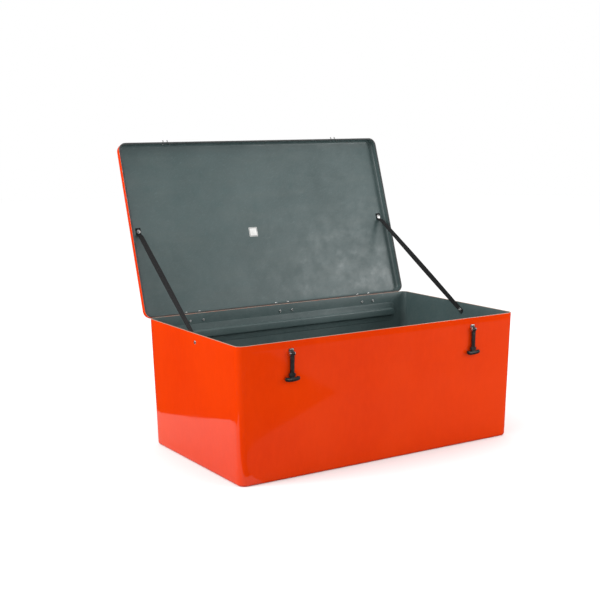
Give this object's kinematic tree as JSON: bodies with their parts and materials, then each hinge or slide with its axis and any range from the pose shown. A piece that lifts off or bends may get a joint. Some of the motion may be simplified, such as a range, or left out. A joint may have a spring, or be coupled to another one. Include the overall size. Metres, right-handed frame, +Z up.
{
  "type": "lidded storage chest",
  "caption": "Tapered glass-fibre storage chest with a hinged tray lid, rubber T-handle draw latches and webbing check straps.",
  "frame": {"origin": "centre of the base's underside, at floor level", "axes": "+X along the chest to its right as seen from the front, +Y to the hinged back, +Z up"},
  "size_m": [1.2052, 0.9449, 1.1324],
  "materials": {
    "box_moulding": "glossy orange gelcoat outside, satin grey-green flow coat inside",
    "lid_moulding": "glossy orange gelcoat outside, satin grey-green flow coat inside",
    "flow_coat": "satin brushed-on flow coat over glass mat",
    "seal_rubber": "matt black sponge rubber",
    "latch_rubber": "satin black moulded rubber",
    "stainless_steel": "pressed stainless steel, lightly brushed",
    "webbing": "woven black polyester webbing",
    "label_film": "blank white vinyl label"
  },
  "bodies": {
    "box": {"box_shell": "box_moulding", "back_stiffener": "flow_coat", "left_hinge_box_leaf": "stainless_steel", "left_hinge_pin": "stainless_steel", "left_hinge_box_bolt_1": "stainless_steel", "left_hinge_box_bolt_2": "stainless_steel", "centre_hinge_box_leaf": "stainless_steel", "centre_hinge_pin": "stainless_steel", "centre_hinge_box_bolt_1": "stainless_steel", "centre_hinge_box_bolt_2": "stainless_steel", "right_hinge_box_leaf": "stainless_steel", "right_hinge_pin": "stainless_steel", "right_hinge_box_bolt_1": "stainless_steel", "right_hinge_box_bolt_2": "stainless_steel", "left_latch_bracket": "stainless_steel", "left_latch_pin": "stainless_steel", "left_latch_rivet_1": "stainless_steel", "left_latch_rivet_2": "stainless_steel", "left_stay_bolt": "stainless_steel", "left_stay_nut": "stainless_steel", "left_check_strap": "webbing", "right_latch_bracket": "stainless_steel", "right_latch_pin": "stainless_steel", "right_latch_rivet_1": "stainless_steel", "right_latch_rivet_2": "stainless_steel", "right_stay_bolt": "stainless_steel", "right_stay_nut": "stainless_steel", "right_check_strap": "webbing"},
    "lid": {"lid_shell": "lid_moulding", "lid_seal": "seal_rubber", "inside_label": "label_film", "left_hinge_lid_leaf": "stainless_steel", "left_hinge_lid_bolt_1": "stainless_steel", "left_hinge_lid_bolt_2": "stainless_steel", "centre_hinge_lid_leaf": "stainless_steel", "centre_hinge_lid_bolt_1": "stainless_steel", "centre_hinge_lid_bolt_2": "stainless_steel", "right_hinge_lid_leaf": "stainless_steel", "right_hinge_lid_bolt_1": "stainless_steel", "right_hinge_lid_bolt_2": "stainless_steel", "left_keeper": "stainless_steel", "left_keeper_rivet_1": "stainless_steel", "left_keeper_rivet_2": "stainless_steel", "left_stay_screw": "stainless_steel", "right_keeper": "stainless_steel", "right_keeper_rivet_1": "stainless_steel", "right_keeper_rivet_2": "stainless_steel", "right_stay_screw": "stainless_steel"},
    "left_latch": {"left_latch_handle": "latch_rubber"},
    "right_latch": {"right_latch_handle": "latch_rubber"}
  },
  "joints": [
    {"name": "lid_hinge", "type": "hinge", "parent": "box", "child": "lid", "pos_m": [0, 0.3448, 0.4745], "axis": [1, 0, 0], "range_deg": [0, 108], "deforming": ["left_check_strap", "right_check_strap"]},
    {"name": "left_latch_pivot", "type": "hinge", "parent": "box", "child": "left_latch", "pos_m": [-0.395, -0.34752, 0.43678], "axis": [-1, 0, 0], "range_deg": [0, 180]},
    {"name": "right_latch_pivot", "type": "hinge", "parent": "box", "child": "right_latch", "pos_m": [0.395, -0.34752, 0.43678], "axis": [-1, 0, 0], "range_deg": [0, 180]}
  ]
}
